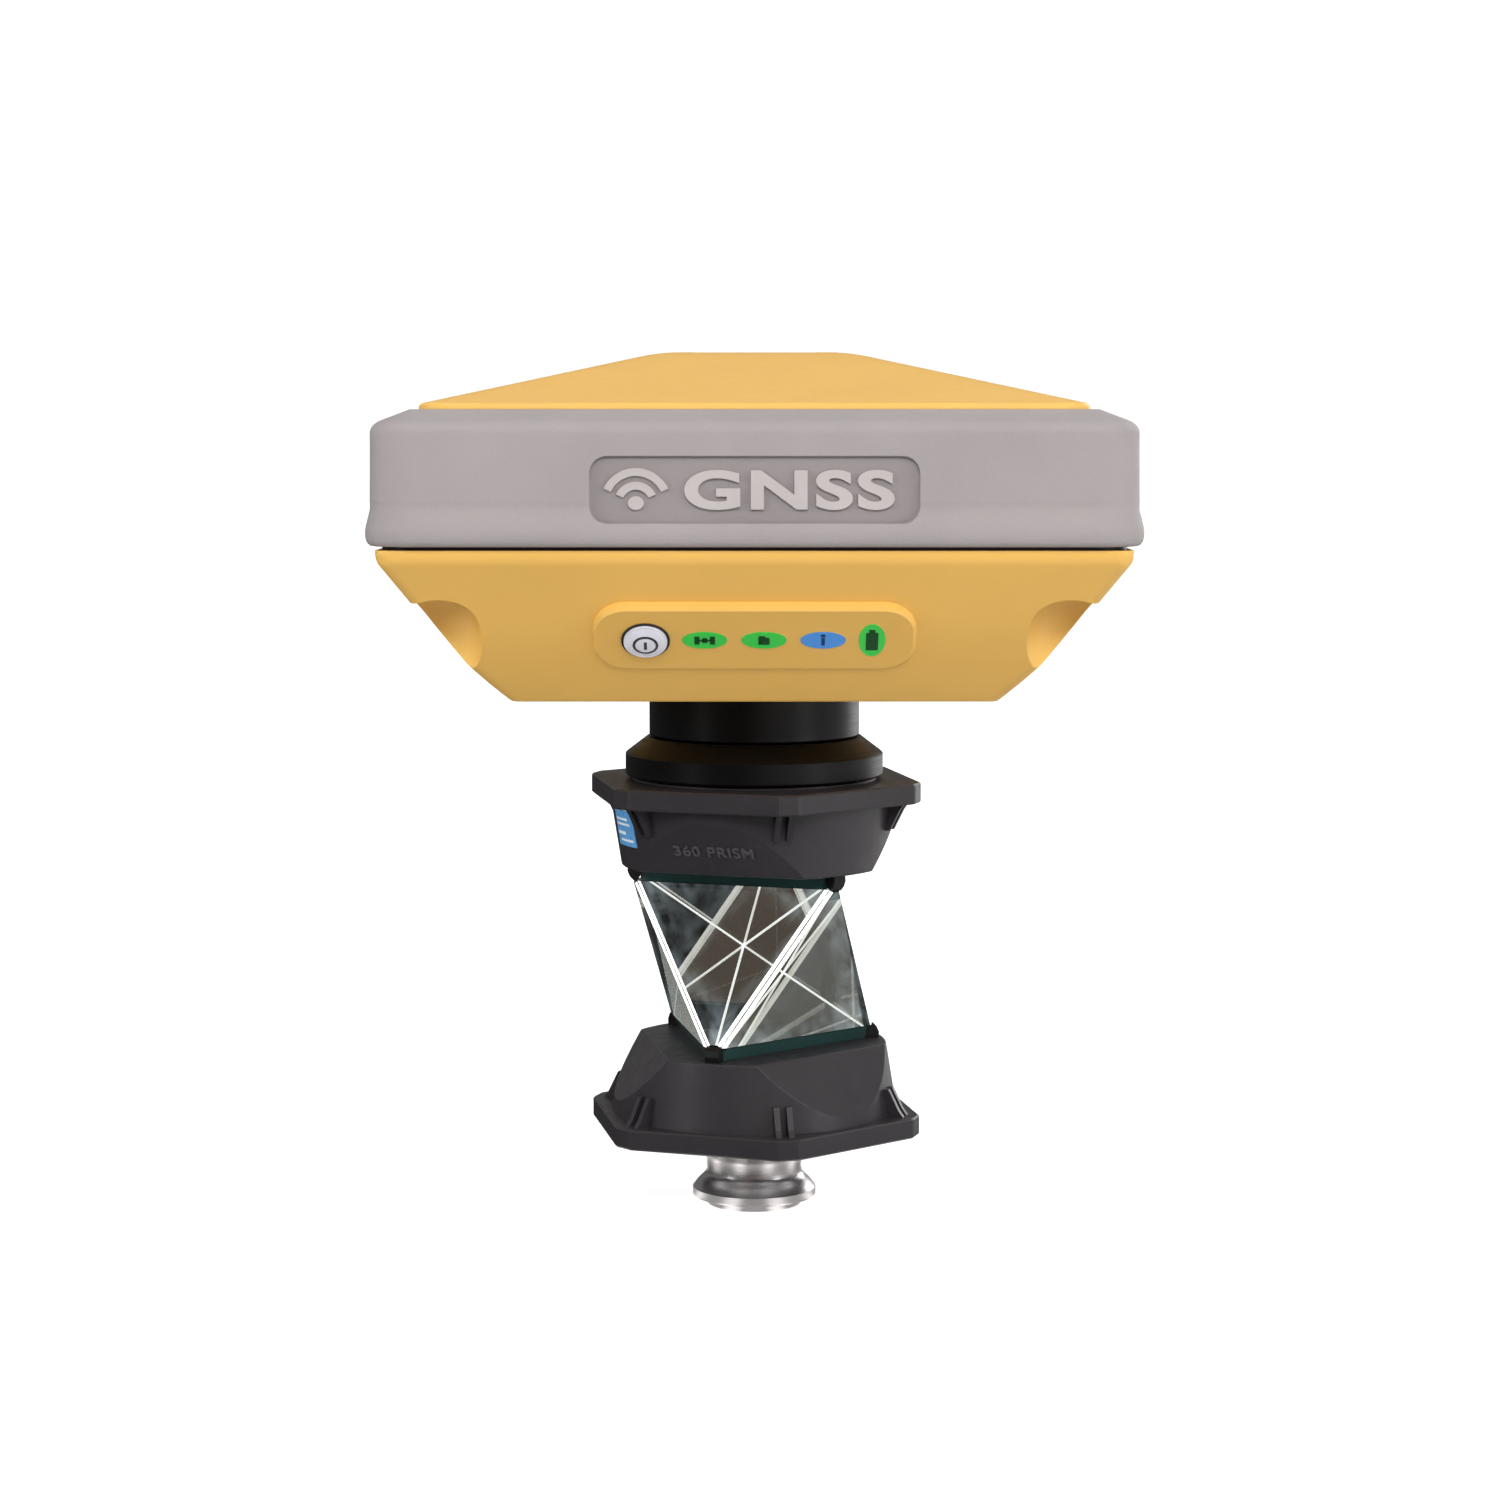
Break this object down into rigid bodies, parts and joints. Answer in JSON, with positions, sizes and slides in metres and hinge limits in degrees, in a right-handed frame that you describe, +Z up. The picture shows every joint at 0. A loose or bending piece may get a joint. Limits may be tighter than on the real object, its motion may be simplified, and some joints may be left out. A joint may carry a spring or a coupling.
{
  "type": "satellite receiver on 360 degree prism",
  "caption": "Square satellite receiver on a ring of corner-cube glass, screwed to a survey pole: the reflector head that a robotic total station follows.",
  "frame": {"origin": "centre of the pole fitting's bottom face", "axes": "+Z up along the pole, -Y towards the control panel"},
  "size_m": [0.15, 0.15, 0.1824],
  "materials": {
    "turned_steel": "turned, bright",
    "charcoal_plastic": "satin, glass filled",
    "machined_aluminium": "machined",
    "black_sealant": "matt",
    "dark_glass": "tinted plate, polished",
    "blue_label": "printed film",
    "black_anodised": "satin black anodising",
    "yellow_plastic": "fine moulded texture",
    "grey_bumper": "fine moulded texture",
    "brass_insert": "machined",
    "dark_plastic": "satin",
    "button_silver": "silver lacquer",
    "circuit_board": "solder mask",
    "ceramic": "fired",
    "cell_wrap": "shrink wrap",
    "lead_jacket": "extruded",
    "cap_rubber": "matt",
    "green_window": "tinted, clear",
    "blue_window": "tinted, clear",
    "prism_glass": "polished, silvered backs"
  },
  "bodies": {
    "prism_head": {"pole_fitting": "turned_steel", "lower_housing": "charcoal_plastic", "upper_housing": "charcoal_plastic", "lower_hub": "machined_aluminium", "upper_hub": "machined_aluminium", "lower_hub_screws": "turned_steel", "upper_hub_screws": "turned_steel", "lower_prism_mount": "charcoal_plastic", "upper_prism_mount": "charcoal_plastic", "lower_prism_seat": "dark_glass", "upper_prism_seat": "dark_glass", "lower_corner_pads": "black_sealant", "upper_corner_pads": "black_sealant", "prism_label": "blue_label", "top_stud": "turned_steel", "corner_prism_down_1": "prism_glass", "corner_prism_down_2": "prism_glass", "corner_prism_down_3": "prism_glass", "corner_prism_up_1": "prism_glass", "corner_prism_up_2": "prism_glass", "corner_prism_up_3": "prism_glass"},
    "receiver": {"lower_case": "yellow_plastic", "bumper_band": "grey_bumper", "radome_cover": "yellow_plastic", "case_seal": "black_sealant", "case_screws": "turned_steel", "adapter_sleeve": "black_anodised", "adapter_stud": "turned_steel", "base_insert": "brass_insert", "button_bezel": "dark_plastic", "keypad_board": "circuit_board", "key_switch": "dark_plastic", "led_chips": "ceramic", "power_port": "machined_aluminium", "data_port": "machined_aluminium", "cap_hinge_pins": "turned_steel", "battery_cells": "cell_wrap", "battery_tray": "dark_plastic", "main_board": "circuit_board", "board_screws": "turned_steel", "shield_cans": "machined_aluminium", "radio_module": "ceramic", "antenna_posts": "machined_aluminium", "ground_plane": "machined_aluminium", "antenna_patches": "ceramic", "antenna_lead": "lead_jacket", "led_window_satellite": "green_window", "led_window_memory": "green_window", "led_window_radio": "blue_window", "led_window_battery": "green_window"},
    "lock_ring": {"lock_ring": "black_anodised"},
    "power_button": {"power_button": "button_silver"},
    "power_port_cap": {"power_port_cap": "cap_rubber"},
    "data_port_cap": {"data_port_cap": "cap_rubber"}
  },
  "joints": [
    {"name": "receiver_turn", "type": "hinge", "parent": "prism_head", "child": "receiver", "pos_m": [0, 0, 0.1], "axis": [0, 0, 1], "continuous": true},
    {"name": "lock_ring_turn", "type": "hinge", "parent": "receiver", "child": "lock_ring", "pos_m": [0, 0, 0.096], "axis": [0, 0, 1], "range_deg": [0, 90]},
    {"name": "power_button_press", "type": "slide", "parent": "receiver", "child": "power_button", "axis": [0, 0.7254, 0.6884], "range_m": [0, 0.0008], "stiffness_N_per_m": 500},
    {"name": "power_cap_open", "type": "hinge", "parent": "receiver", "child": "power_port_cap", "pos_m": [0.014, 0.06811, 0.12984], "axis": [1, 0, 0], "range_deg": [0, 110]},
    {"name": "data_cap_open", "type": "hinge", "parent": "receiver", "child": "data_port_cap", "pos_m": [-0.014, 0.06811, 0.12984], "axis": [1, 0, 0], "range_deg": [0, 110]}
  ]
}
